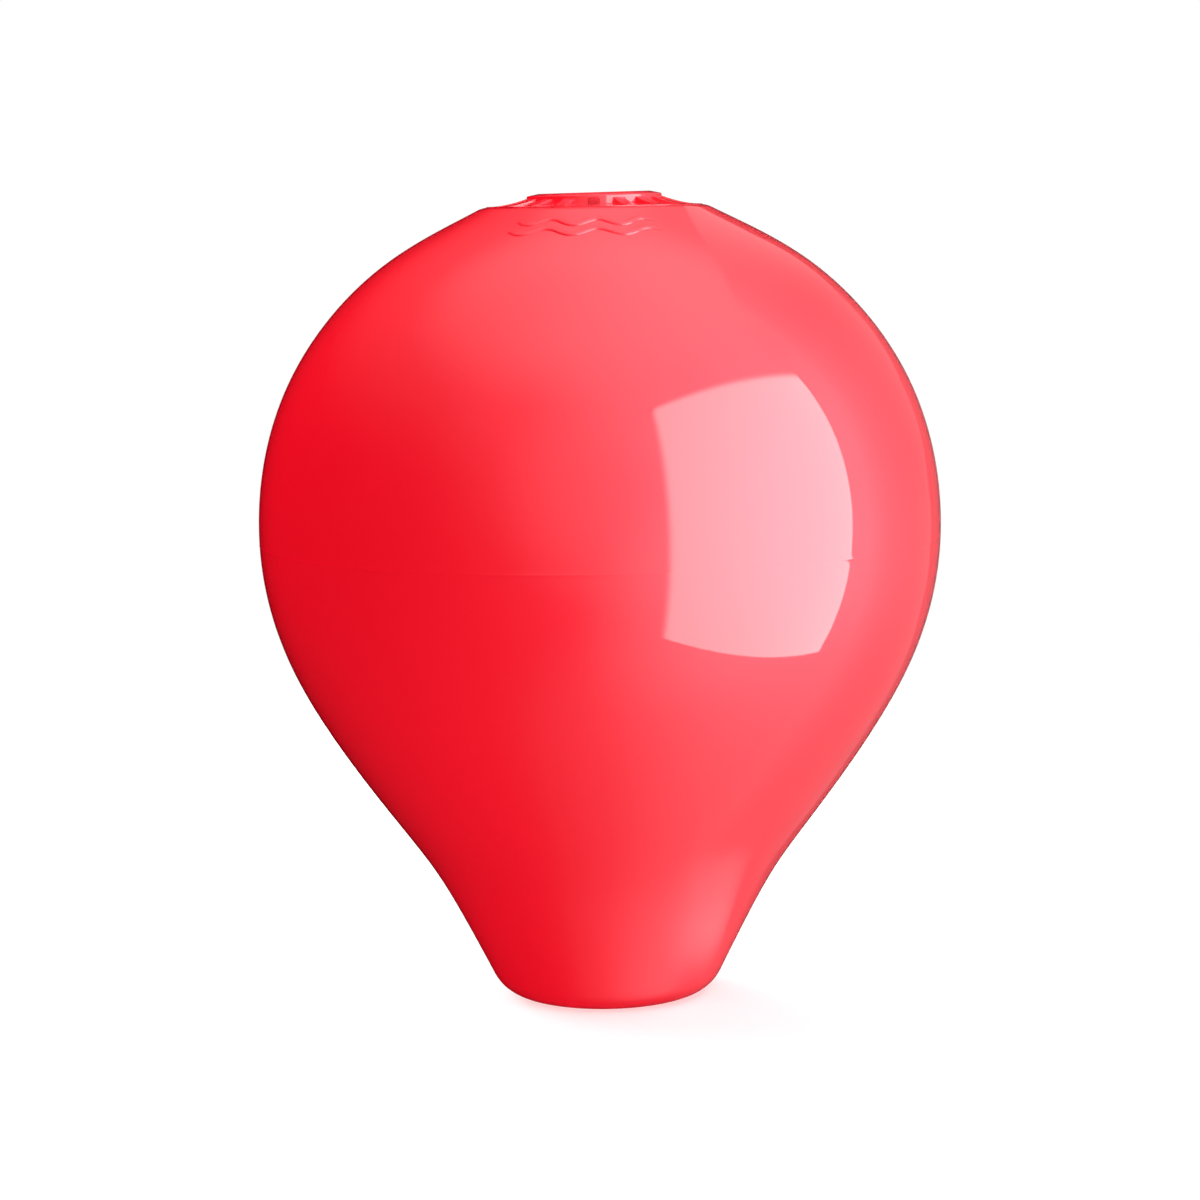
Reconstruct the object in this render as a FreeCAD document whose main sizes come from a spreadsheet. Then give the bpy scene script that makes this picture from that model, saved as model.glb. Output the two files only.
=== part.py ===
import FreeCAD, Part
import math
import os
from collections import namedtuple

import Sketcher
from FreeCAD import Vector

# A marker buoy: a hollow skin of red vinyl with a round belly, a flat crown deck and a narrow foot,
# and a rigid tube down its middle that a mooring rod or chain passes through. A moulded collar holds
# the tube's end at the crown and another at the foot. An inflation valve sits on the deck, behind.
#
# Frame: origin on the floor under the middle of the foot, +Z up the tube, front towards -Y.

DOCUMENT = FreeCAD.newDocument("marker_buoy")

# Driving dimensions, in millimetres and degrees. Each one can be set by itself.
DRIVING = (
    # the skin's outline, from the crown down
    ("deck_height", 503.6),       # floor to the flat crown deck
    ("deck_margin", 2.4),         # bare deck outside the collar's flange
    ("crown_slope", 28),          # fall of the crown at the deck's edge
    ("crown_reach", 20.25),       # how far the crown keeps that slope
    ("shoulder_radius", 138),
    ("shoulder_drop", 30.1),      # below the deck
    ("belly_radius", 216),        # half of the buoy's diameter
    ("belly_height", 303),        # floor to the widest ring
    ("belly_ease", 0.936),        # less is a rounder belly
    ("belly_rise", 0.4806),       # share of the height above the widest ring that stays full
    ("belly_fall", 0.322),        # share of the height below it that stays full
    ("waist_lean", 32.7),
    ("waist_reach", 21),
    ("neck_lean", 26.5),          # lean of the neck where the foot's rim begins
    ("neck_reach", 65.5),
    ("rim_round", 26),
    ("foot_ring", 7.4),           # width of the flat ring that the buoy stands on
    ("skin", 4.5),                # wall of the vinyl
    # the centre tube and the sleeve that the skin has round it
    ("tube_radius", 30.15),
    ("tube_wall", 3.9),
    ("tube_chamfer", 0.8),
    ("tube_gap", 0.1),            # between the tube and what goes round it
    ("tube_end_gap", 0.2),        # between the tube's ends and the collars' lips
    ("sleeve_wall", 4),
    # the collars
    ("collar_wall", 12.15),       # round the tube
    ("collar_rise", 9),           # deck to the collar's top
    ("bevel_width", 7.4),
    ("bevel_drop", 1.6),
    ("flange_reach", 25.6),       # collar's side to the edge of its flange
    ("flange_root", 1.4),         # the flange's thickness at the collar's side
    ("flange_edge", 0.3),         # and at its edge
    ("lip_thickness", 3),         # lip over the tube's end
    ("lip_cover", 2.2),           # how far the lip reaches in over the tube's wall
    ("lip_chamfer", 0.8),
    ("gusset_count", 17),         # odd, so that one is in front and none is behind
    ("gusset_width", 7.5),
    ("gusset_reach", 22),         # collar's side to a gusset's toe
    ("gusset_drop", 3.3),         # collar's top to a gusset's top
    ("gusset_bow", 81),           # radius of a gusset's hollow slope
    ("gusset_root", 1),           # how far a gusset is buried in the collar's side
    ("recess_depth", 9),          # pocket in the foot that holds the foot collar
    ("recess_gap", 0.2),
    ("foot_clearance", 1.5),      # floor to the foot collar
    ("foot_collar_chamfer", 1.2),
    # the inflation valve
    ("valve_inset", 11),          # flange's edge to the valve's axis
    ("valve_gap", 0.1),
    ("spotface_height", 0.8),     # deck to the flat that the valve's rim sits on
    ("rim_width", 2),             # of the valve's rim, outside the barrel
    ("rim_thickness", 1.8),
    ("barrel_radius", 6),
    ("barrel_depth", 10),         # below the rim
    ("boss_wall", 4),             # vinyl round the barrel, under the deck
    ("boss_floor", 3),            # vinyl under the barrel's end
    ("air_hole", 1.2),            # radius of the way through it into the chamber
    ("seat_wall", 2),             # round the seal's seat
    ("seat_depth", 1.4),
    ("valve_bore", 3.6),
    ("seal_thickness", 0.8),
    ("seal_gap", 0.1),            # round the seal and the plug in their seats
    ("plug_head", 1.8),
    ("plug_depth", 7),            # below the seal
    ("coin_slot_width", 1.6),
    ("coin_slot_depth", 0.9),
)

# Sizes that follow from the driving ones. Each uses only names from above it.
DERIVED = (
    ("tube_clear", "tube_radius + tube_gap"),
    ("tube_bore", "tube_radius - tube_wall"),
    ("collar_radius", "tube_clear + collar_wall"),
    ("flange_radius", "collar_radius + flange_reach"),
    ("deck_radius", "flange_radius + deck_margin"),
    ("collar_top", "deck_height + collar_rise"),
    ("gusset_foot", "collar_radius + gusset_reach"),
    ("gusset_top", "collar_top - gusset_drop"),
    ("lip_bore", "tube_radius - lip_cover"),
    ("sleeve_radius", "tube_clear + sleeve_wall"),
    ("recess_radius", "collar_radius + recess_gap"),
    ("foot_radius", "recess_radius + foot_ring"),
    ("chamber_floor", "recess_depth + skin"),
    ("tube_top", "collar_top - lip_thickness - tube_end_gap"),
    ("tube_bottom", "foot_clearance + lip_thickness + tube_end_gap"),
    ("valve_offset", "flange_radius - valve_inset"),
    ("valve_seat", "deck_height + spotface_height"),
    ("valve_hole", "barrel_radius + valve_gap"),
    ("rim_radius", "barrel_radius + rim_width"),
    ("seat_radius", "rim_radius - seat_wall"),
    ("barrel_end", "valve_seat - barrel_depth"),
    ("valve_top", "valve_seat + rim_thickness"),
    ("seal_radius", "seat_radius - seal_gap"),
    ("shank_radius", "valve_bore - seal_gap"),
    ("seal_bottom", "valve_top - seat_depth"),
    ("seal_top", "seal_bottom + seal_thickness"),
    ("plug_top", "seal_top + plug_head"),
)

# Control poles of the skin's outline, from the deck's edge to the foot's rim. The curve passes
# through the widest ring, where it runs straight up, because its neighbours stand at one radius.
OUTLINE = (
    ("deck_radius", "deck_height"),
    ("deck_radius + crown_reach * cos(crown_slope)", "deck_height - crown_reach * sin(crown_slope)"),
    ("shoulder_radius", "deck_height - shoulder_drop"),
    ("belly_radius * belly_ease", "belly_height + belly_rise * (deck_height - belly_height)"),
    ("belly_radius * (6 - 2 * belly_ease) / 4", "(6 * belly_height - pole_z3 - pole_z5) / 4"),
    ("belly_radius * belly_ease", "belly_height * (1 - belly_fall)"),
    ("pole_r7 + waist_reach * sin(waist_lean)", "pole_z7 + waist_reach * cos(waist_lean)"),
    ("pole_r8 + neck_reach * sin(neck_lean)", "pole_z8 + neck_reach * cos(neck_lean)"),
    ("foot_radius + rim_round * cos(neck_lean)", "rim_round * (1 - sin(neck_lean))"),
)
FIRST = 0
LAST = len(OUTLINE) - 1


def make_sheet():
    """The spreadsheet that every size is bound to."""
    sheet = DOCUMENT.addObject("Spreadsheet::Sheet", "sizes")
    rows = [(name, str(number)) for name, number in DRIVING]
    rows += [(name, "=" + text) for name, text in DERIVED]
    for index in (8, 7, 6, 0, 1, 2, 3, 5, 4):
        radius, height = OUTLINE[index]
        rows += [(f"pole_r{index}", "=" + radius), (f"pole_z{index}", "=" + height)]
    rows += inner_pole_rows()
    for row, (name, content) in enumerate(rows, start=1):
        sheet.set(f"A{row}", name)
        sheet.set(f"B{row}", content)
        sheet.setAlias(f"B{row}", name)
    DOCUMENT.recompute()
    return sheet


def inner_pole_rows():
    """The chamber's poles: each outline pole moved in by the skin, square to its two neighbours."""
    rows = []
    for index in range(FIRST + 1, LAST):
        above, below = index - 1, index + 1
        run_r = f"(pole_r{below} - pole_r{above})"
        run_z = f"(pole_z{above} - pole_z{below})"
        rows += [
            (f"span_{index}", f"=sqrt({run_r} * {run_r} + {run_z} * {run_z})"),
            (f"inner_r{index}", f"=pole_r{index} - skin * {run_z} / span_{index}"),
            (f"inner_z{index}", f"=pole_z{index} - skin * {run_r} / span_{index}"),
        ]
    rows += [
        (f"inner_r{FIRST}", "=deck_radius - skin * tan(crown_slope / 2)"),
        (f"inner_z{FIRST}", "=deck_height - skin"),
        (f"inner_r{LAST}", f"=pole_r{LAST} - skin * cos(neck_lean)"),
        (f"inner_z{LAST}", f"=pole_z{LAST} + skin * sin(neck_lean)"),
    ]
    return rows


SHEET = make_sheet()
NAMES = {SHEET.getAlias(cell) for cell in SHEET.getUsedCells()}


def bound(text):
    """The same expression, with each size read from its cell of the sheet."""
    spaced = "".join(letter if letter.isalnum() or letter in "_." else f" {letter} " for letter in text)
    return " ".join(f"sizes.{word}" if word in NAMES else word for word in spaced.split())


def number(text):
    """What the expression comes to now."""
    return float(SHEET.evalExpression(text))


def add_body(name):
    body = DOCUMENT.addObject("PartDesign::Body", name)
    body.Label = name
    return body


def add_sketch(body, name, plane="XZ_Plane", height=None):
    """A sketch on one of the body's own planes, lifted to a height where one is given."""
    sketch = body.newObject("Sketcher::SketchObject", name)
    datum = next(item for item in body.Origin.OriginFeatures if item.Role == plane)
    sketch.AttachmentSupport = [(datum, "")]
    sketch.MapMode = "FlatFace"
    if height:
        sketch.setExpression(".AttachmentOffset.Base.z", bound(height))
    return sketch


def constrain(sketch, text, *terms):
    """A dimension of a sketch, bound to the sheet."""
    index = sketch.addConstraint(Sketcher.Constraint(*terms, number(text)))
    sketch.setExpression(f"Constraints[{index}]", bound(text))


def hold(sketch, geometry, end, corner):
    """Hold one point of a sketch at a corner."""
    across, up = corner
    constrain(sketch, across, "DistanceX", -1, 1, geometry, end)
    constrain(sketch, up, "DistanceY", -1, 1, geometry, end)


def point(corner):
    across, up = corner
    return Vector(number(across), number(up), 0)


# The runs of an outline. A corner is a pair of expressions: across and up.
Straight = namedtuple("Straight", "end")
Bow = namedtuple("Bow", "end radius side")  # side: 1 bulges left of the way it runs, -1 right
Curve = namedtuple("Curve", "end poles")    # the poles between its ends


def straight(sketch, start, run):
    line = sketch.addGeometry(Part.LineSegment(point(start), point(run.end)), False)
    return line, 1, 2


def bow(sketch, start, run):
    """A circular arc of a given radius."""
    first, last = point(start), point(run.end)
    radius = number(run.radius)
    chord = last - first
    depth = radius - math.sqrt(radius ** 2 - (chord.Length / 2) ** 2)
    aside = Vector(-chord.y, chord.x, 0).normalize() * depth * run.side
    arc = sketch.addGeometry(Part.Arc(first, (first + last) / 2 + aside, last), False)
    constrain(sketch, run.radius, "Radius", arc)
    return (arc, 2, 1) if run.side > 0 else (arc, 1, 2)


def curve(sketch, start, run):
    """A cubic spline through its two ends, pulled towards the poles between them."""
    poles = [start, *run.poles, run.end]
    places = [point(pole) for pole in poles]
    spline = sketch.addGeometry(Part.BSplineCurve(places, None, None, False, 3, None, False), False)
    for index, place in enumerate(places):
        circle = sketch.addGeometry(Part.Circle(place, Vector(0, 0, 1), 1), True)
        sketch.addConstraint(Sketcher.Constraint("Weight", circle, 1))
        control = ("InternalAlignment:Sketcher::BSplineControlPoint", circle, 3, spline, index)
        sketch.addConstraint(Sketcher.Constraint(*control))
        if 0 < index < len(poles) - 1:
            hold(sketch, circle, 3, poles[index])
    return spline, 1, 2


DRAW = {Straight: straight, Bow: bow, Curve: curve}


def outline(sketch, start, *runs):
    """A closed outline of runs, which ends where it starts."""
    drawn = []
    here = start
    for run in runs:
        run = run if type(run) in DRAW else Straight(run)
        piece, first, last = DRAW[type(run)](sketch, here, run)
        hold(sketch, piece, first, here)
        drawn.append((piece, first, last))
        here = run.end
    for (piece, _, last), (following, first, _) in zip(drawn, drawn[1:] + drawn[:1]):
        sketch.addConstraint(Sketcher.Constraint("Coincident", piece, last, following, first))


def turn(body, sketch, kind="Revolution"):
    """Turn a sketch once round the upright axis: a Revolution adds material, a Groove cuts it."""
    turned = body.newObject(f"PartDesign::{kind}", f"{sketch.Name}_{kind.lower()}")
    turned.Profile = sketch
    turned.ReferenceAxis = (sketch, ["V_Axis"])
    turned.Angle = 360
    return turned


def circle_behind(sketch, radius, distance):
    """A circle centred straight behind the upright axis."""
    ring = sketch.addGeometry(Part.Circle(point(("0", distance)), Vector(0, 0, 1), number(radius)), False)
    constrain(sketch, radius, "Radius", ring)
    hold(sketch, ring, 3, ("0", distance))


def pad(body, sketch, length, downwards=False):
    raised = body.newObject("PartDesign::Pad", f"{sketch.Name}_pad")
    raised.Profile = sketch
    raised.Reversed = downwards
    raised.setExpression("Length", bound(length))
    return raised


def pocket(body, sketch, depth, upwards=False):
    cut = body.newObject("PartDesign::Pocket", f"{sketch.Name}_pocket")
    cut.Profile = sketch
    cut.Reversed = upwards
    cut.setExpression("Length", bound(depth))
    return cut


def make_float_shell():
    """The hollow skin, its sleeve round the tube, and the boss that the valve is let into."""
    body = add_body("float_shell")
    poles = [(f"pole_r{index}", f"pole_z{index}") for index in range(LAST + 1)]
    skin = add_sketch(body, "skin_outline")
    outline(
        skin,
        ("tube_clear", "deck_height"),
        poles[FIRST],
        Curve(poles[LAST], poles[FIRST + 1:LAST]),
        Bow(("foot_radius", "0"), "rim_round", 1),
        ("recess_radius", "0"),
        ("recess_radius", "recess_depth"),
        ("tube_clear", "recess_depth"),
        ("tube_clear", "deck_height"),
    )
    turn(body, skin)
    inner = [(f"inner_r{index}", f"inner_z{index}") for index in range(LAST + 1)]
    chamber = add_sketch(body, "chamber_outline")
    outline(
        chamber,
        ("sleeve_radius", f"inner_z{FIRST}"),
        inner[FIRST],
        Curve(inner[LAST], inner[FIRST + 1:LAST]),
        ("sleeve_radius", "chamber_floor"),
        ("sleeve_radius", f"inner_z{FIRST}"),
    )
    turn(body, chamber, "Groove")
    boss = add_sketch(body, "valve_boss", "XY_Plane", "deck_height - skin / 2")
    circle_behind(boss, "valve_hole + boss_wall", "valve_offset")
    pad(body, boss, "deck_height - skin / 2 - barrel_end + boss_floor", downwards=True)
    hole = add_sketch(body, "valve_socket", "XY_Plane", "deck_height")
    circle_behind(hole, "valve_hole", "valve_offset")
    pocket(body, hole, "deck_height - barrel_end")
    way = add_sketch(body, "air_way", "XY_Plane", "barrel_end")
    circle_behind(way, "air_hole", "valve_offset")
    pocket(body, way, "boss_floor")
    return body


def make_centre_tube():
    """The rigid tube from lip to lip, with its ends broken inside and out."""
    body = add_body("centre_tube")
    wall = add_sketch(body, "tube_outline")
    outline(
        wall,
        ("tube_bore", "tube_bottom + tube_chamfer"),
        ("tube_bore + tube_chamfer", "tube_bottom"),
        ("tube_radius - tube_chamfer", "tube_bottom"),
        ("tube_radius", "tube_bottom + tube_chamfer"),
        ("tube_radius", "tube_top - tube_chamfer"),
        ("tube_radius - tube_chamfer", "tube_top"),
        ("tube_bore + tube_chamfer", "tube_top"),
        ("tube_bore", "tube_top - tube_chamfer"),
        ("tube_bore", "tube_bottom + tube_chamfer"),
    )
    turn(body, wall)
    return body


def make_top_collar():
    """The collar on the deck: a bevelled hub on a thin flange, with sloping gussets between them."""
    body = add_body("top_collar")
    ring = add_sketch(body, "top_collar_outline")
    outline(
        ring,
        ("tube_clear", "deck_height"),
        ("flange_radius", "deck_height"),
        ("flange_radius", "deck_height + flange_edge"),
        ("collar_radius", "deck_height + flange_root"),
        ("collar_radius", "collar_top - bevel_drop"),
        ("collar_radius - bevel_width", "collar_top"),
        ("lip_bore + lip_chamfer", "collar_top"),
        ("lip_bore", "collar_top - lip_chamfer"),
        ("lip_bore", "collar_top - lip_thickness"),
        ("tube_clear", "collar_top - lip_thickness"),
        ("tube_clear", "deck_height"),
    )
    turn(body, ring)
    side = add_sketch(body, "gusset_side", "YZ_Plane")
    outline(
        side,
        ("gusset_root - collar_radius", "deck_height"),
        ("-gusset_foot", "deck_height"),
        ("-gusset_foot", "deck_height + flange_edge"),
        Bow(("-collar_radius", "gusset_top"), "gusset_bow", -1),
        ("gusset_root - collar_radius", "gusset_top"),
        ("gusset_root - collar_radius", "deck_height"),
    )
    first_gusset = pad(body, side, "gusset_width")
    first_gusset.SideType = "Symmetric"
    gussets = body.newObject("PartDesign::PolarPattern", "gussets")
    gussets.Originals = [first_gusset]
    gussets.Axis = (side, ["V_Axis"])
    gussets.Angle = 360
    gussets.setExpression("Occurrences", bound("gusset_count"))
    body.Tip = gussets
    flat = add_sketch(body, "spotface", "XY_Plane", "valve_seat")
    circle_behind(flat, "rim_radius + valve_gap", "valve_offset")
    pocket(body, flat, "collar_rise", upwards=True)
    hole = add_sketch(body, "collar_valve_hole", "XY_Plane", "valve_seat")
    circle_behind(hole, "valve_hole", "valve_offset")
    pocket(body, hole, "spotface_height")
    return body


def make_foot_collar():
    """The collar in the foot's recess, which holds the tube's lower end."""
    body = add_body("foot_collar")
    ring = add_sketch(body, "foot_collar_outline")
    outline(
        ring,
        ("lip_bore", "foot_clearance + lip_chamfer"),
        ("lip_bore + lip_chamfer", "foot_clearance"),
        ("collar_radius - foot_collar_chamfer", "foot_clearance"),
        ("collar_radius", "foot_clearance + foot_collar_chamfer"),
        ("collar_radius", "recess_depth"),
        ("tube_clear", "recess_depth"),
        ("tube_clear", "foot_clearance + lip_thickness"),
        ("lip_bore", "foot_clearance + lip_thickness"),
        ("lip_bore", "foot_clearance + lip_chamfer"),
    )
    turn(body, ring)
    return body


def make_valve_piece(name, start, *runs):
    """A turned piece of the valve, which stands on the valve's own axis."""
    body = add_body(name)
    section = add_sketch(body, f"{name}_outline")
    outline(section, start, *runs)
    turn(body, section)
    body.setExpression(".Placement.Base.y", bound("valve_offset"))
    return body


def make_valve():
    """The rimmed barrel, its sealing washer, and the plug with a slot for a coin."""
    make_valve_piece(
        "valve_body",
        ("valve_bore", "barrel_end"),
        ("barrel_radius", "barrel_end"),
        ("barrel_radius", "valve_seat"),
        ("rim_radius", "valve_seat"),
        ("rim_radius", "valve_top"),
        ("seat_radius", "valve_top"),
        ("seat_radius", "seal_bottom"),
        ("valve_bore", "seal_bottom"),
        ("valve_bore", "barrel_end"),
    )
    make_valve_piece(
        "valve_seal",
        ("shank_radius + seal_gap", "seal_bottom"),
        ("seal_radius", "seal_bottom"),
        ("seal_radius", "seal_top"),
        ("shank_radius + seal_gap", "seal_top"),
        ("shank_radius + seal_gap", "seal_bottom"),
    )
    plug = make_valve_piece(
        "valve_plug",
        ("0", "seal_bottom - plug_depth"),
        ("shank_radius", "seal_bottom - plug_depth"),
        ("shank_radius", "seal_top"),
        ("seal_radius", "seal_top"),
        ("seal_radius", "plug_top"),
        ("0", "plug_top"),
        ("0", "seal_bottom - plug_depth"),
    )
    slot = add_sketch(plug, "coin_slot", "XY_Plane", "plug_top")
    ends = (
        ("-seal_radius", "-coin_slot_width / 2"),
        ("seal_radius", "-coin_slot_width / 2"),
        ("seal_radius", "coin_slot_width / 2"),
        ("-seal_radius", "coin_slot_width / 2"),
    )
    outline(slot, *ends, ends[0])
    pocket(plug, slot, "coin_slot_depth")


def write_parts():
    """Write each body to its own file, once every object of the document is sound."""
    DOCUMENT.recompute()
    for item in DOCUMENT.Objects:
        if "Invalid" in item.State or "Error" in item.State:
            raise RuntimeError(f"{item.Name} failed: {item.State}")
    os.makedirs("parts", exist_ok=True)
    for body in DOCUMENT.findObjects("PartDesign::Body"):
        shape = body.Shape
        if shape.isNull() or not shape.isValid() or len(shape.Solids) != 1:
            raise RuntimeError(f"{body.Label} isn't one sound solid")
        shape.exportStep(f"parts/{body.Label}.step")
        print(f"{body.Label}: {shape.Volume:.0f} mm3")


make_float_shell()
make_centre_tube()
make_top_collar()
make_foot_collar()
make_valve()
write_parts()
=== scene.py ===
from math import cos, pi, radians, sin, sqrt, tan

import bmesh
import bpy
from mathutils import Matrix, Vector
from mathutils.bvhtree import BVHTree


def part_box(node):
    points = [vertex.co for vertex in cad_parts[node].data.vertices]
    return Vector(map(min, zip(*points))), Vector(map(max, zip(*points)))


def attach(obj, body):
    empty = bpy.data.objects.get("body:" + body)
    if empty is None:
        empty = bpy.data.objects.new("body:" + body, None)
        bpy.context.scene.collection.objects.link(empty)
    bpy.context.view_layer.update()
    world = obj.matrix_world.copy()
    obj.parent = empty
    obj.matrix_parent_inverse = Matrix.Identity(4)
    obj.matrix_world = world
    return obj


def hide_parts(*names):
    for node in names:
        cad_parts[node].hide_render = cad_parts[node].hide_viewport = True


# A marker buoy: a glossy skin of rotomoulded red vinyl with a round belly and a narrow foot, a white
# tube down its middle, a moulded collar at each end of the tube, and a black inflation valve behind.
#
# Everything is in metres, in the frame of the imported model: origin on the floor under the middle of
# the foot, +Z up the tube, front towards -Y.

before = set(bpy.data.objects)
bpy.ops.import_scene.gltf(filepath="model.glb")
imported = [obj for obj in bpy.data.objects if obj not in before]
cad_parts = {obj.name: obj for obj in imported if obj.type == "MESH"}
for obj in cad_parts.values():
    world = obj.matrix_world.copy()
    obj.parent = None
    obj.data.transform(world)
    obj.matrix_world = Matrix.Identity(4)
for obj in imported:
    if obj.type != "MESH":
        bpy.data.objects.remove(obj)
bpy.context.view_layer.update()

MM = 0.001
UP = Vector((0, 0, 1))
FULL_TURN = 2 * pi
HERE = Matrix.Identity(4)
TOUCH = 0.001 * MM                # nearer than this is the same place


def extent(node):
    """A CAD node's radius about its own middle, its middle, its lowest and its highest level."""
    low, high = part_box(node)
    return min(high.x - low.x, high.y - low.y) / 2, (low + high) / 2, low.z, high.z


BELLY_RADIUS, _, _, DECK = extent("float_shell")
TUBE_RADIUS, _, TUBE_BOTTOM, TUBE_TOP = extent("centre_tube")
FLANGE_RADIUS, _, _, HUB_TOP = extent("top_collar")
FOOT_COLLAR_RADIUS, _, FOOT_COLLAR_BOTTOM, RECESS_TOP = extent("foot_collar")
VALVE_RADIUS, VALVE_AT, BARREL_END, VALVE_TOP = extent("valve_body")
SEAL_RADIUS, _, SEAL_BOTTOM, SEAL_TOP = extent("valve_seal")

# The skin's outline
DECK_MARGIN = 2.4 * MM
DECK_ROUND = 3.6 * MM
CROWN_SLOPE = radians(28)
CROWN_REACH = 20.25 * MM
SHOULDER_RADIUS = 138 * MM
SHOULDER_DROP = 30.1 * MM
BELLY_HEIGHT = 303 * MM
BELLY_EASE = 0.936
BELLY_RISE = 0.4806
BELLY_FALL = 0.322
WAIST_LEAN = radians(32.7)
WAIST_REACH = 21 * MM
NECK_LEAN = radians(26.5)
NECK_REACH = 65.5 * MM
RIM_ROUND = 26 * MM
RIM_STEPS = 14
FOOT_RING = 7.4 * MM
FIT = 0.1 * MM                    # between pieces that sit in or round each other
SKIN_ROUND = 0.9 * MM             # on the skin's own sharp edges

# The parting line, where the two halves of the mould met
SEAM_HEIGHT = 294.6 * MM
SEAM_PROUD = 0.1 * MM
SEAM_WIDTH = 1.8 * MM
SEAM_MIDDLE = 0.9                 # the share of its half width that is pushed out

# The crown collar
HUB_RADIUS = FOOT_COLLAR_RADIUS
HUB_BEVEL = 7.4 * MM
HUB_BEVEL_DROP = 1.6 * MM
HUB_LEAN = radians(0.8)
COLLAR_ROUND = 0.6 * MM
FLANGE_EDGE = 0.3 * MM
FLANGE_ROOT = 1.4 * MM
LIP = 3 * MM
LIP_BORE = TUBE_RADIUS - 2.2 * MM
GUSSETS = 17
GUSSET_WIDTH = 7.5 * MM
GUSSET_REACH = 22 * MM
GUSSET_DROP = 3.3 * MM
GUSSET_BOW = 81 * MM
GUSSET_ROUND = 0.5 * MM
GUSSET_STEPS = 6

FOOT_COLLAR_ROUND = 1.0 * MM

# The two wave ribs on the crown: how far out they lie, and how far round they run from the front
WAVE_RADII = (88 * MM, 99 * MM)
WAVE_FROM, WAVE_TO = radians(-31), radians(24)
WAVE_SWAY = 3.6 * MM
WAVES = 3
WAVE_STEPS = 8                    # for each wave
WAVE_ENDS = (0.15, 4)             # how full an end begins, and how fast it fills out
WAVE_END_SINK = 0.3               # how much deeper an end sits, as a share
WAVE_ROUND = 2.6 * MM
WAVE_SUNK = 1.3 * MM

TUBE_BORE = TUBE_RADIUS - 3.9 * MM
TUBE_ROUND = 0.8 * MM
VALVE_BORE = 3.6 * MM
BARREL_RADIUS = 6 * MM
VALVE_RIM = 1.8 * MM
BARREL_ROUND = 0.4 * MM
WASHER_ROUND = 0.3 * MM

OUTLINE_STEPS = 22                # along each span of the outline
STEPS = 288                       # round the buoy
SMALL_STEPS = 64                  # round the valve

# The studio. Azimuths run from the front towards +X.
LENS = 101.38
CAMERA_AT = (-0.00075, -2.140, 0.515)
CAMERA_PITCH = radians(6.96)
CAMERA_ROLL = radians(1.0)
# The watts of the lamps, and the strengths of the softbox and the glows, came out of a fit by another
# program and were then rounded. So did the places of the camera and the softbox.
LAMPS = (  # name, azimuth, level, distance, level it aims at, width, height, watts
    ("front_high", 30, 1.5, 1.5, 0.25, 0.8, 0.8, 11),
    ("front", -3, 1.0, 1.7, 0.4, 0.4, 0.4, 3),
    ("right_high", 100, 1.9, 1.2, 0.25, 1.2, 1.2, 18),
    ("left_high", -60, 1.9, 1.2, 0.25, 1.2, 1.2, 11),
    ("back_high", 180, 1.9, 1.2, 0.25, 1.2, 1.2, 29),
    ("left", -50, 0.7, 1.9, 0.25, 1.4, 1.2, 17),
    ("back_left", -130, 0.7, 1.9, 0.25, 1.4, 1.2, 46),
    ("back_left_rim", -152, 0.5, 1.6, 0.25, 1.0, 1.2, 26),
    ("back_right_low", 130, 0.2, 1.6, 0.25, 1.5, 0.36, 25),
    ("foot_front", -20, 0.05, 0.5, 0.12, 0.5, 0.08, 0.7),
    ("bounce", 0, -0.5, 0.01, 0.2, 1.0, 1.0, 5.5),
    ("bounce_right", 90, -0.3, 0.7, 0.1, 0.8, 0.4, 2.2),
)
CARD_AZIMUTH, CARD_DISTANCE, CARD_LEVEL = radians(52.8), 1.2, 0.449
CARD_FACING, CARD_TILT, CARD_ROLL = radians(51.6), radians(2.8), radians(1.7)
CARD_HALF = (0.783, 1.024)
CARD_GLOW, CARD_ACROSS = 6.6, 1.3
CARD_FADE = (0.06, 0.05)          # of the card that its left and its lower edge fade over
CARD_EDGE = 0.25                  # of its glow that is left at those edges
SHEEN_SIDES = 48
SHEEN_AT, SHEEN_TURN = (0.113, -0.048, 0.002), radians(50)
SHEEN_HALF, SHEEN_GLOW = (0.085, 0.045), 1.1
FLAG_EDGE = (  # distance from the axis and level, down the side board's inner edge
    (1.20, 2.00), (0.06, 0.52), (0.11, 0.50), (0.17, 0.46), (0.22, 0.40), (0.25, 0.33), (0.25, 0.28),
    (0.24, 0.23), (0.19, 0.15), (0.15, 0.1), (0.12, 0.05), (0.10, 0.01), (0.10, -2.5),
)
FLAG_FAR = 2.5
FLAG_LEVEL = 0.3                  # the level that the board's glow is laid out round
FLAG_FADE = (0.2, 0.9, 0.25)      # two distances, and the share of the studio's glow at the nearer one
GLOWS = (  # strength, azimuth, elevation, width in degrees
    (0.93, 0, 88, 45), (0.33, 0, 88, 70), (0.59, 10, 20, 45), (0.35, 10, 35, 65),
    (0.30, 30, -20, 40), (0.31, 30, -55, 50), (0.52, 60, 55, 55), (0.88, 65, -20, 70),
    (0.41, 90, 20, 50), (0.33, 120, 50, 50), (0.05, 120, -50, 50), (0.19, 125, 0, 60),
)
DOME_RADIUS = 4
DOME_STEPS = (48, 24)             # round it, and from pole to pole
FLOOR_HALF = 6
FLOOR_GLOW = 0.5                  # of the floor's white that doesn't darken in the shadow
FLOOR_NEAR, FLOOR_FAR = 0.9, 1.6  # where the lit floor gives way to the white backdrop


# Finishes

def colour(text):
    """An sRGB colour such as E8081E as linear values."""
    parts = [int(text[place:place + 2], 16) / 255 for place in (0, 2, 4)]
    return [part / 12.92 if part <= 0.04045 else ((part + 0.055) / 1.055) ** 2.4 for part in parts] + [1]


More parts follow.
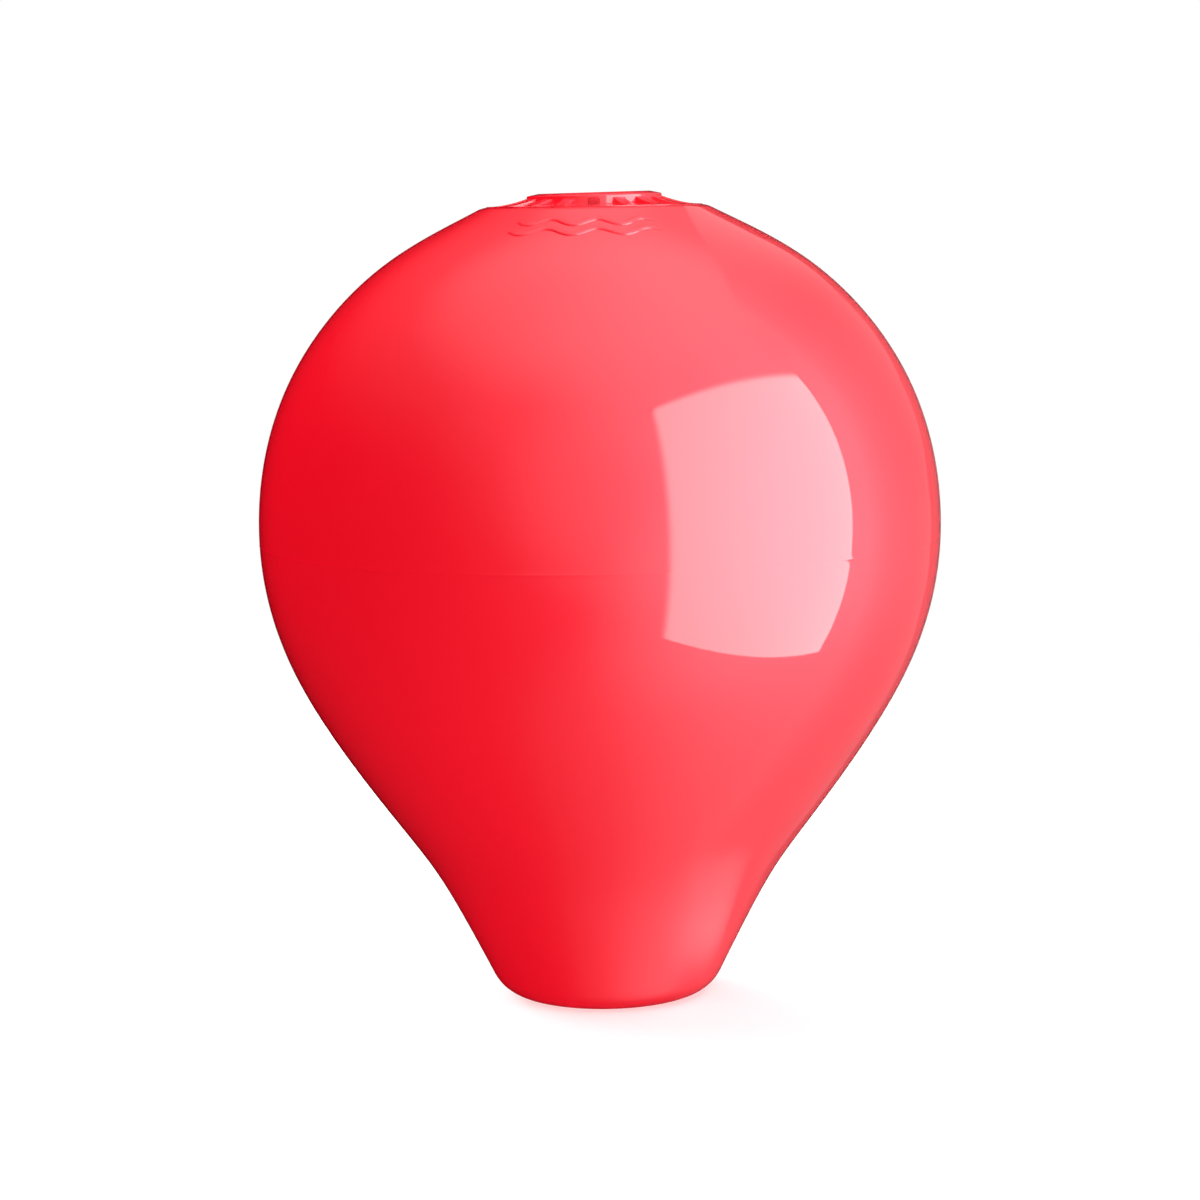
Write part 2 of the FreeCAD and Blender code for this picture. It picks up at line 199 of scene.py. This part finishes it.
def add(tree, kind, inputs=None, **settings):
    """One node, with its settings, and a value or a link for each socket that is named."""
    node = tree.nodes.new("ShaderNode" + kind)
    for name, value in settings.items():
        setattr(node, name, value)
    for socket, value in (inputs or {}).items():
        if isinstance(value, bpy.types.NodeSocket):
            tree.links.new(value, node.inputs[socket])
        else:
            node.inputs[socket].default_value = value
    return node


def finish(name, make):
    """A material whose nodes are made by a function of the tree and the coordinates it is given."""
    material = bpy.data.materials.new(name)
    material.use_nodes = True
    tree = material.node_tree
    tree.nodes.clear()
    place = add(tree, "TexCoord").outputs["Object"]
    surface = make(tree, place)
    add(tree, "OutputMaterial", {"Surface": surface.outputs[0]})
    return material


def mottle(tree, place, size, dark, light, detail=3.0):
    """Two close colours in soft patches of about a size in metres."""
    noise = add(tree, "TexNoise", {"Vector": place, "Scale": 1 / size, "Detail": detail})
    return add(tree, "Mix", {0: noise.outputs[0], 6: dark, 7: light}, data_type="RGBA").outputs[2]


def ripple(tree, place, size, height, detail=2.0, below=None):
    """A bump of soft hollows of a size and a height in metres, laid over another one if given."""
    noise = add(tree, "TexNoise", {"Vector": place, "Scale": 1 / size, "Detail": detail})
    inputs = {"Height": noise.outputs[0], "Distance": height, "Strength": 1.0}
    if below:
        inputs["Normal"] = below
    return add(tree, "Bump", inputs).outputs[0]


def gloss_vinyl(tree, place):
    """Rotomoulded plasticised PVC: a clear hard gloss over a softly hazy red.

    The base's IOR is above PVC's 1.53 and its gloss is tinted, which gives the wide pinkish haze.
    """
    skin = ripple(tree, place, 45 * MM, 0.02 * MM)
    peel = ripple(tree, place, 2.5 * MM, 0.0012 * MM, below=skin)
    return add(tree, "BsdfPrincipled", {
        "Base Color": mottle(tree, place, 70 * MM, colour("EF031C"), colour("F3041E")),
        "Roughness": 0.65,
        "IOR": 1.8,
        "Specular IOR Level": 1.0,
        "Specular Tint": (1, 0.65, 0.85, 1),
        "Coat Weight": 1.0,
        "Coat Roughness": 0.03,
        "Coat IOR": 1.5,
        "Normal": peel,
        "Coat Normal": peel,
    })


def tube_pvc(tree, place):
    """Extruded rigid PVC: off-white, satin, with fine drawn lines along the tube."""
    drawn = add(tree, "Mapping", {"Vector": place, "Scale": (1, 1, 0.02)}).outputs[0]
    return add(tree, "BsdfPrincipled", {
        "Base Color": mottle(tree, drawn, 4 * MM, colour("E3E2DC"), colour("EBEAE4")),
        "Roughness": 0.38,
        "Normal": ripple(tree, drawn, 0.8 * MM, 0.01 * MM),
    })


def valve_nylon(tree, place):
    """Moulded nylon: black, satin, with a fine spark-eroded grain."""
    return add(tree, "BsdfPrincipled", {
        "Base Color": mottle(tree, place, 3 * MM, colour("131314"), colour("1C1C1E")),
        "Roughness": 0.42,
        "Normal": ripple(tree, place, 0.25 * MM, 0.01 * MM, detail=1.0),
    })


def seal_rubber(tree, place):
    """Moulded nitrile rubber: dull and a little chalky."""
    return add(tree, "BsdfPrincipled", {
        "Base Color": mottle(tree, place, 1.5 * MM, colour("1A1A1A"), colour("262626")),
        "Roughness": 0.75,
        "Normal": ripple(tree, place, 0.3 * MM, 0.02 * MM),
    })


VINYL = finish("rotomoulded_vinyl", gloss_vinyl)
TUBE = finish("extruded_pvc", tube_pvc)
NYLON = finish("moulded_nylon", valve_nylon)
RUBBER = finish("nitrile_rubber", seal_rubber)


# Shapes

def piece(name, bm, material, stands_for=None, crease=radians(32)):
    """Make a shape a piece of the buoy, smooth but for its creases."""
    mesh = bpy.data.meshes.new(name)
    bmesh.ops.recalc_face_normals(bm, faces=bm.faces)
    for face in bm.faces:
        face.smooth = True
    bm.to_mesh(mesh)
    bm.free()
    mesh.set_sharp_from_angle(angle=crease)
    mesh.materials.append(material)
    made = bpy.data.objects.new(name, mesh)
    bpy.context.scene.collection.objects.link(made)
    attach(made, "root")
    if stands_for:
        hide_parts(stands_for)


def spin(bm, steps=STEPS):
    """Spin all there is once round the upright axis."""
    bmesh.ops.spin(
        bm, geom=bm.verts[:] + bm.edges[:], cent=(0, 0, 0), axis=UP, angle=FULL_TURN,
        steps=steps, space=HERE, use_merge=True)
    bmesh.ops.remove_doubles(bm, verts=bm.verts, dist=TOUCH)
    bmesh.ops.recalc_face_normals(bm, faces=bm.faces)


def run(bm, start, *corners):
    """Straight runs from a vertex through corners, and the last one's vertex."""
    here = start
    for corner in corners:
        here = bmesh.ops.extrude_vert_indiv(bm, verts=[here])["verts"][0]
        here.co = corner
    return here


def swing(bm, start, centre, axis, angle, steps):
    """An arc of edges from a vertex, and its last vertex."""
    arc = bmesh.ops.spin(
        bm, geom=[start], cent=centre, axis=axis, angle=angle, steps=steps, space=HERE)
    return next(item for item in arc["geom_last"] if isinstance(item, bmesh.types.BMVert))


def round_over(bm, width, sharper=radians(30), segments=3, among=None):
    """Round the edges whose faces meet at more than an angle."""
    edges = [
        edge for edge in bm.edges
        if edge.is_manifold and edge.calc_face_angle() > sharper and (among is None or among(edge))]
    bmesh.ops.bevel(
        bm, geom=edges, offset=width, offset_type="OFFSET", segments=segments, profile=0.5,
        affect="EDGES", clamp_overlap=True, material=-1)


def turned(corners, steps=STEPS):
    """A shape spun from a closed outline of corners of radius and height."""
    bm = bmesh.new()
    first, *others = ((radius, 0, height) for radius, height in corners)
    start = bm.verts.new(first)
    bm.edges.new((run(bm, start, *others), start))
    spin(bm, steps)
    return bm


def outline_poles():
    """The poles of the skin's outline, from the deck's edge to the foot's rim."""
    belly = BELLY_RADIUS - SEAM_PROUD
    deck_radius = FLANGE_RADIUS + DECK_MARGIN
    rim = (
        FOOT_COLLAR_RADIUS + 2 * FIT + FOOT_RING + RIM_ROUND * cos(NECK_LEAN),
        RIM_ROUND * (1 - sin(NECK_LEAN)))
    neck = (rim[0] + NECK_REACH * sin(NECK_LEAN), rim[1] + NECK_REACH * cos(NECK_LEAN))
    waist = (neck[0] + WAIST_REACH * sin(WAIST_LEAN), neck[1] + WAIST_REACH * cos(WAIST_LEAN))
    over = (belly * BELLY_EASE, BELLY_HEIGHT + BELLY_RISE * (DECK - BELLY_HEIGHT))
    under = (belly * BELLY_EASE, BELLY_HEIGHT * (1 - BELLY_FALL))
    widest = (belly * (6 - 2 * BELLY_EASE) / 4, (6 * BELLY_HEIGHT - over[1] - under[1]) / 4)
    return (
        (deck_radius, DECK),
        (deck_radius + CROWN_REACH * cos(CROWN_SLOPE), DECK - CROWN_REACH * sin(CROWN_SLOPE)),
        (SHOULDER_RADIUS, DECK - SHOULDER_DROP),
        over, widest, under, waist, neck, rim)


def spline_mesh(points, order, steps, **settings):
    """The mesh of a clamped spline with poles of x, y, z and radius."""
    curve = bpy.data.curves.new("spline", "CURVE")
    curve.dimensions = "3D"
    for name, value in settings.items():
        setattr(curve, name, value)
    spline = curve.splines.new("NURBS")
    spline.points.add(len(points) - 1)
    for point, (x, y, z, radius) in zip(spline.points, points):
        point.co = (x, y, z, 1)
        point.radius = radius
    spline.order_u = order
    spline.use_endpoint_u = True
    spline.resolution_u = steps
    holder = bpy.data.objects.new("spline", curve)
    mesh = bpy.data.meshes.new_from_object(holder)
    bpy.data.objects.remove(holder)
    return mesh


def pour(bm, mesh):
    """Add a mesh to a shape, and drop it."""
    bm.from_mesh(mesh)
    bpy.data.meshes.remove(mesh)


def raise_seam(bm):
    """Cut the parting line's rows into the outline, and push the middle ones out."""
    for share in (-1, -0.5, 0, 0.5, 1):
        bmesh.ops.bisect_plane(
            bm, geom=bm.verts[:] + bm.edges[:], dist=TOUCH, plane_no=UP,
            plane_co=(0, 0, SEAM_HEIGHT + share * SEAM_WIDTH / 2))
    for vert in bm.verts:
        away = abs(vert.co.z - SEAM_HEIGHT) / (SEAM_WIDTH / 2)
        if away < SEAM_MIDDLE:
            vert.co.x += SEAM_PROUD * (1 - away)


def clear_deck_edge(bm, corner):
    """Leave the deck's corner a straight run that is long enough to round."""
    near = [
        vert for vert in bm.verts
        if vert is not corner and (vert.co - corner.co).length < DECK_ROUND]
    bmesh.ops.dissolve_verts(bm, verts=near)


def skin_shape():
    """The skin's outside, closed over the deck and the foot and along the tube."""
    poles = outline_poles()
    bm = bmesh.new()
    pour(bm, spline_mesh([(radius, 0, height, 1) for radius, height in poles], 4, OUTLINE_STEPS))
    raise_seam(bm)
    top = max(bm.verts, key=lambda vert: vert.co.z)
    foot = min(bm.verts, key=lambda vert: vert.co.z)
    clear_deck_edge(bm, top)
    rim_centre = (poles[-1][0] - RIM_ROUND * cos(NECK_LEAN), 0, RIM_ROUND)
    ring_edge = swing(bm, foot, rim_centre, (0, 1, 0), pi / 2 - NECK_LEAN, RIM_STEPS)
    recess = FOOT_COLLAR_RADIUS + 2 * FIT
    sleeve = TUBE_RADIUS + FIT
    last = run(
        bm, ring_edge, (recess, 0, 0), (recess, 0, RECESS_TOP), (sleeve, 0, RECESS_TOP), (sleeve, 0, DECK))
    bm.edges.new((last, top))
    spin(bm)
    deck_edge = poles[0][0] - MM
    round_over(bm, DECK_ROUND, radians(20), 5, among=lambda edge: is_ring(edge, DECK, deck_edge))
    round_over(bm, SKIN_ROUND, radians(50), among=lambda edge: is_ring(edge, 0, recess - MM))
    return bm


def is_ring(edge, height, radius):
    """Whether an edge lies on a level, outside a radius."""
    return all(abs(vert.co.z - height) < TOUCH and vert.co.xy.length > radius for vert in edge.verts)


def leaned(bm):
    """Press the hub a little lower on one side, more the higher it is."""
    for vert in bm.verts:
        share = max(0, vert.co.z - DECK - FLANGE_EDGE) / (HUB_TOP - DECK)
        vert.co.z -= share * tan(HUB_LEAN) * max(0, HUB_RADIUS - vert.co.x)


def gusset_shape():
    """One sloping gusset in front of the hub."""
    bm = bmesh.new()
    toe = Vector((0, -HUB_RADIUS - GUSSET_REACH, DECK + FLANGE_EDGE))
    head = Vector((0, -HUB_RADIUS, HUB_TOP - GUSSET_DROP))
    chord = head - toe
    square = Vector((0, -chord.z, chord.y)).normalized()
    centre = (toe + head) / 2 + square * sqrt(GUSSET_BOW ** 2 - (chord.length / 2) ** 2)
    start = bm.verts.new(toe)
    end = swing(bm, start, centre, (1, 0, 0), chord.length / GUSSET_BOW, GUSSET_STEPS)
    buried = -HUB_RADIUS + MM
    last = run(bm, end, (0, buried, head.z), (0, buried, DECK), (0, toe.y, DECK))
    bm.edges.new((last, start))
    face = bmesh.ops.contextual_create(bm, geom=bm.edges[:])["faces"][0]
    bmesh.ops.translate(bm, verts=bm.verts, vec=(-GUSSET_WIDTH / 2, 0, 0))
    grown = bmesh.ops.extrude_face_region(bm, geom=[face])["geom"]
    moved = [item for item in grown if isinstance(item, bmesh.types.BMVert)]
    bmesh.ops.translate(bm, verts=moved, vec=(GUSSET_WIDTH, 0, 0))
    bmesh.ops.recalc_face_normals(bm, faces=bm.faces)
    round_over(bm, GUSSET_ROUND, among=lambda edge: edge.verts[0].co.z > DECK)
    return bm


# Pieces

def make_skin():
    """The skin, and a tree of its faces to lay other things on."""
    bm = skin_shape()
    faces = BVHTree.FromBMesh(bm)
    piece("skin", bm, VINYL, "float_shell")
    return faces


def make_crown_collar():
    """The moulded collar round the tube's top: a flange, a hub with a lip, and a ring of gussets."""
    inner = TUBE_RADIUS + FIT
    bm = turned((
        (inner, DECK),
        (FLANGE_RADIUS, DECK),
        (FLANGE_RADIUS, DECK + FLANGE_EDGE),
        (HUB_RADIUS, DECK + FLANGE_ROOT),
        (HUB_RADIUS, HUB_TOP - HUB_BEVEL_DROP),
        (HUB_RADIUS - HUB_BEVEL, HUB_TOP),
        (LIP_BORE, HUB_TOP),
        (LIP_BORE, HUB_TOP - LIP),
        (inner, HUB_TOP - LIP),
    ))
    round_over(bm, COLLAR_ROUND, radians(8), among=lambda edge: edge.verts[0].co.z > DECK + MM)
    gussets = gusset_shape()
    bmesh.ops.spin(
        gussets, geom=gussets.verts[:] + gussets.edges[:] + gussets.faces[:], cent=(0, 0, 0),
        axis=UP, angle=FULL_TURN, steps=GUSSETS, space=HERE, use_duplicate=True)
    mesh = bpy.data.meshes.new("gussets")
    gussets.to_mesh(mesh)
    gussets.free()
    pour(bm, mesh)
    leaned(bm)
    piece("crown_collar", bm, VINYL, "top_collar")


def make_foot_collar():
    """The plain collar round the tube's bottom, in the foot's recess."""
    inner = TUBE_RADIUS + FIT
    bm = turned((
        (LIP_BORE, FOOT_COLLAR_BOTTOM),
        (FOOT_COLLAR_RADIUS, FOOT_COLLAR_BOTTOM),
        (FOOT_COLLAR_RADIUS, RECESS_TOP),
        (inner, RECESS_TOP),
        (inner, FOOT_COLLAR_BOTTOM + LIP),
        (LIP_BORE, FOOT_COLLAR_BOTTOM + LIP),
    ))
    round_over(bm, FOOT_COLLAR_ROUND)
    piece("foot_collar_ring", bm, VINYL, "foot_collar")


def make_tube():
    """The tube that a mooring rod goes through, from the foot to the crown collar."""
    bm = turned((
        (TUBE_BORE, TUBE_BOTTOM),
        (TUBE_RADIUS, TUBE_BOTTOM),
        (TUBE_RADIUS, TUBE_TOP),
        (TUBE_BORE, TUBE_TOP),
    ))
    round_over(bm, TUBE_ROUND)
    piece("tube", bm, TUBE, "centre_tube")


def make_waves(faces):
    """Two plain wave ribs, moulded a little proud of the crown in front."""
    bm = bmesh.new()
    count = WAVES * WAVE_STEPS
    least, fill = WAVE_ENDS
    for radius in WAVE_RADII:
        points = []
        for step in range(count + 1):
            share = step / count
            azimuth = WAVE_FROM + share * (WAVE_TO - WAVE_FROM)
            out = radius + WAVE_SWAY * sin(share * WAVES * FULL_TURN)
            above = Vector((out * sin(azimuth), -out * cos(azimuth), HUB_TOP))
            place, normal, _, _ = faces.ray_cast(above, -UP)
            taper = min(1, fill * share + least, fill * (1 - share) + least)
            sunk = WAVE_SUNK * (1 + WAVE_END_SINK * (1 - taper))
            points.append((*(place - normal * sunk), 1))
        pour(bm, spline_mesh(
            points, 4, 4, bevel_depth=WAVE_ROUND, bevel_resolution=5, use_fill_caps=True))
    bmesh.ops.remove_doubles(bm, verts=bm.verts, dist=TOUCH)
    piece("wave_relief", bm, VINYL)


def make_valve():
    """The inflation valve's barrel and rim, and the washer in it. Its plug is the CAD one."""
    seat = SEAL_RADIUS + FIT
    barrel = turned((
        (VALVE_BORE, BARREL_END),
        (BARREL_RADIUS, BARREL_END),
        (BARREL_RADIUS, VALVE_TOP - VALVE_RIM),
        (VALVE_RADIUS, VALVE_TOP - VALVE_RIM),
        (VALVE_RADIUS, VALVE_TOP),
        (seat, VALVE_TOP),
        (seat, SEAL_BOTTOM),
        (VALVE_BORE, SEAL_BOTTOM),
    ), SMALL_STEPS)
    round_over(barrel, BARREL_ROUND)
    washer = turned((
        (VALVE_BORE, SEAL_BOTTOM),
        (SEAL_RADIUS, SEAL_BOTTOM),
        (SEAL_RADIUS, SEAL_TOP),
        (VALVE_BORE, SEAL_TOP),
    ), SMALL_STEPS)
    round_over(washer, WASHER_ROUND)
    for bm in (barrel, washer):
        bmesh.ops.translate(bm, verts=bm.verts, vec=(VALVE_AT.x, VALVE_AT.y, 0))
    piece("valve_barrel", barrel, NYLON, "valve_body")
    piece("valve_washer", washer, RUBBER, "valve_seal")
    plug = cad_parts["valve_plug"].data.materials
    plug.clear()
    plug.append(NYLON)


# The studio

def around(azimuth, distance, level):
    """A place round the buoy."""
    return Vector((distance * sin(azimuth), -distance * cos(azimuth), level))


def make_lamp(name, azimuth, level, distance, aim, width, height, watts):
    """A soft lamp that lights the buoy, and is itself seen neither directly nor in the gloss."""
    data = bpy.data.lights.new(name, "AREA")
    data.shape = "RECTANGLE"
    data.size = width
    data.size_y = height
    data.energy = watts
    data.cycles.use_multiple_importance_sampling = False
    made = bpy.data.objects.new(name, data)
    made.location = around(radians(azimuth), distance, level)
    made.rotation_euler = (made.location - aim * UP).to_track_quat("Z", "Y").to_euler()
    made.visible_camera = False
    made.visible_glossy = False
    bpy.context.scene.collection.objects.link(made)


def stage_mesh(name, bm, material, place=HERE):
    """Something of the studio's own."""
    mesh = bpy.data.meshes.new(name)
    bm.to_mesh(mesh)
    bm.free()
    mesh.materials.append(material)
    made = bpy.data.objects.new(name, mesh)
    made.matrix_world = place
    bpy.context.scene.collection.objects.link(made)
    return made


def only_in_gloss(made):
    """Leave a thing of the studio's to be seen in the gloss alone."""
    made.active_material.cycles.emission_sampling = "NONE"
    made.visible_camera = False
    made.visible_diffuse = False
    made.visible_transmission = False
    made.visible_volume_scatter = False
    made.visible_shadow = False


def card_glow(tree, place):
    """Brighter towards the right of the card, with a soft left and lower edge."""
    apart = add(tree, "SeparateXYZ", {0: place}).outputs
    glow = add(tree, "MapRange", {
        "Value": apart[0], 1: -1.0, 2: 1.0, 3: CARD_GLOW, 4: CARD_GLOW + CARD_ACROSS}).outputs[0]
    for side, fade in zip(apart, CARD_FADE):
        edge = add(
            tree, "MapRange", {"Value": side, 1: -1.0, 2: 2 * fade - 1.0, 3: CARD_EDGE},
            interpolation_type="SMOOTHSTEP")
        glow = add(tree, "Math", {0: glow, 1: edge.outputs[0]}, operation="MULTIPLY").outputs[0]
    return add(tree, "Emission", {"Strength": glow})


def make_key_card():
    """A tall flat softbox to the right of the camera, which the buoy's gloss shows."""
    across = Vector((cos(CARD_FACING), sin(CARD_FACING), 0))
    away = Vector((-sin(CARD_FACING) * cos(CARD_TILT), cos(CARD_FACING) * cos(CARD_TILT),
                   -sin(CARD_TILT)))
    turn = Matrix.Rotation(CARD_ROLL, 3, away)
    axes = Matrix((turn @ across, turn @ away.cross(across), away)).transposed().to_4x4()
    place = Matrix.Translation(around(CARD_AZIMUTH, CARD_DISTANCE, CARD_LEVEL)) @ axes
    bm = bmesh.new()
    bmesh.ops.create_grid(bm, x_segments=1, y_segments=1, size=1)
    material = finish("card_glow", card_glow)
    only_in_gloss(stage_mesh("key_card", bm, material, place @ Matrix.Diagonal((*CARD_HALF, 1, 1))))


def sheen_glow(tree, place):
    """Bright in the middle of a disc."""
    out = add(tree, "VectorMath", {0: place}, operation="LENGTH").outputs["Value"]
    glow = add(
        tree, "MapRange", {"Value": out, 1: 1.0, 2: 0.0, 3: 0.0, 4: SHEEN_GLOW},
        interpolation_type="SMOOTHSTEP")
    clear = add(tree, "BsdfTransparent").outputs[0]
    return add(tree, "AddShader", {
        0: clear, 1: add(tree, "Emission", {"Strength": glow.outputs[0]}).outputs[0]})


def make_sheen():
    """The bright floor to the right of the foot, which the neck's gloss shows."""
    bm = bmesh.new()
    bmesh.ops.create_circle(bm, cap_ends=True, segments=SHEEN_SIDES, radius=1)
    place = (
        Matrix.Translation(SHEEN_AT) @ Matrix.Rotation(SHEEN_TURN, 4, "Z")
        @ Matrix.Diagonal((*SHEEN_HALF, 1, 1)))
    only_in_gloss(stage_mesh("floor_sheen", bm, finish("floor_sheen", sheen_glow), place))


def studio_light(tree, place):
    """The sum of soft round glows in a dark studio."""
    outward = add(tree, "VectorMath", {0: place}, operation="NORMALIZE").outputs[0]
    total = 0.0
    for strength, azimuth, elevation, width in GLOWS:
        axis = around(radians(azimuth), cos(radians(elevation)), sin(radians(elevation)))
        towards = add(tree, "VectorMath", {0: outward, 1: axis}, operation="DOT_PRODUCT")
        glow = add(tree, "MapRange", {
            "Value": towards.outputs["Value"], 1: cos(radians(width)), 2: 1.0, 3: 0.0, 4: strength,
        }, interpolation_type="SMOOTHSTEP")
        total = add(tree, "Math", {0: glow.outputs[0], 1: total}, operation="ADD").outputs[0]
    return total


def dome_glow(tree, place):
    """The studio's glow as it is."""
    return add(tree, "Emission", {"Strength": studio_light(tree, place)})


def flag_glow(tree, place):
    """The studio's glow at its side, dimmer towards the buoy."""
    near, far, share = FLAG_FADE
    level = add(tree, "VectorMath", {0: place, 1: FLAG_LEVEL * UP}, operation="SUBTRACT").outputs[0]
    out = add(tree, "VectorMath", {0: level}, operation="LENGTH").outputs["Value"]
    fade = add(tree, "MapRange", {"Value": out, 1: near, 2: far, 3: share, 4: 1.0}).outputs[0]
    glow = add(tree, "Math", {0: studio_light(tree, level), 1: fade}, operation="MULTIPLY")
    return add(tree, "Emission", {"Strength": glow.outputs[0]})


def make_flag():
    """A board that stands out to the right and keeps the softbox's glare off the far side."""
    bm = bmesh.new()
    for above, below in zip(FLAG_EDGE, FLAG_EDGE[1:]):
        corners = (above, (FLAG_FAR, above[1]), (FLAG_FAR, below[1]), below)
        bm.faces.new([bm.verts.new((out, 0, level)) for out, level in corners])
    only_in_gloss(stage_mesh("side_flag", bm, finish("side_flag", flag_glow)))


def make_dome():
    """The dark studio round about, for the gloss to show."""
    across, upward = DOME_STEPS
    bm = bmesh.new()
    bmesh.ops.create_uvsphere(bm, u_segments=across, v_segments=upward, radius=DOME_RADIUS)
    only_in_gloss(stage_mesh("studio_dome", bm, finish("studio_glow", dome_glow)))


def pale_floor(tree, place):
    """A pale floor that keeps a soft shadow near the buoy and is plain white beyond."""
    seen = add(tree, "LightPath").outputs["Is Camera Ray"]
    shade = add(tree, "Mix", {0: seen, 6: colour("404040"), 7: colour("C4C4C4")}, data_type="RGBA")
    lit = add(tree, "BsdfDiffuse", {"Color": shade.outputs[2]}).outputs[0]
    glow = add(tree, "Math", {0: seen, 1: FLOOR_GLOW}, operation="MULTIPLY").outputs[0]
    near = add(tree, "AddShader", {0: lit, 1: add(tree, "Emission", {"Strength": glow}).outputs[0]})
    white = add(tree, "Emission", {"Strength": seen}).outputs[0]
    distance = add(tree, "VectorMath", {0: place}, operation="LENGTH").outputs["Value"]
    far = add(
        tree, "MapRange", {"Value": distance, 1: FLOOR_NEAR, 2: FLOOR_FAR},
        interpolation_type="SMOOTHSTEP")
    return add(tree, "MixShader", {0: far.outputs[0], 1: near.outputs[0], 2: white})


def make_floor():
    """The floor, which the gloss doesn't show and which lets light from below through to the foot."""
    bm = bmesh.new()
    bmesh.ops.create_grid(bm, x_segments=1, y_segments=1, size=FLOOR_HALF)
    floor = stage_mesh("floor", bm, finish("pale_floor", pale_floor))
    floor.visible_glossy = False
    floor.visible_shadow = False


def make_backdrop():
    """White where the camera, the gloss or glass sees it, and dark to everything else."""
    world = bpy.data.worlds.new("backdrop")
    bpy.context.scene.world = world
    world.use_nodes = True
    tree = world.node_tree
    tree.nodes.clear()
    path = add(tree, "LightPath").outputs
    seen = add(
        tree, "Math", {0: path["Is Camera Ray"], 1: path["Is Glossy Ray"]}, operation="ADD").outputs[0]
    seen = add(tree, "Math", {0: seen, 1: path["Is Transmission Ray"]}, operation="ADD", use_clamp=True)
    back = add(tree, "Background", {"Strength": seen.outputs[0]})
    back.inputs["Color"].default_value = (1, 1, 1, 1)
    add(tree, "OutputWorld", {"Surface": back.outputs[0]})


def make_camera():
    """A camera in front, a little above the buoy and looking slightly down."""
    data = bpy.data.cameras.new("camera")
    data.sensor_width = 36
    data.lens = LENS
    made = bpy.data.objects.new("camera", data)
    turn = Matrix.Rotation(pi / 2 - CAMERA_PITCH, 4, "X") @ Matrix.Rotation(-CAMERA_ROLL, 4, "Z")
    made.matrix_world = Matrix.Translation(CAMERA_AT) @ turn
    bpy.context.scene.collection.objects.link(made)
    bpy.context.scene.camera = made
    bpy.context.scene.view_settings.view_transform = "Standard"


skin_faces = make_skin()
make_waves(skin_faces)
make_crown_collar()
make_foot_collar()
make_tube()
make_valve()

make_camera()
make_backdrop()
make_floor()
make_key_card()
make_sheen()
make_flag()
make_dome()
for lamp in LAMPS:
    make_lamp(*lamp)
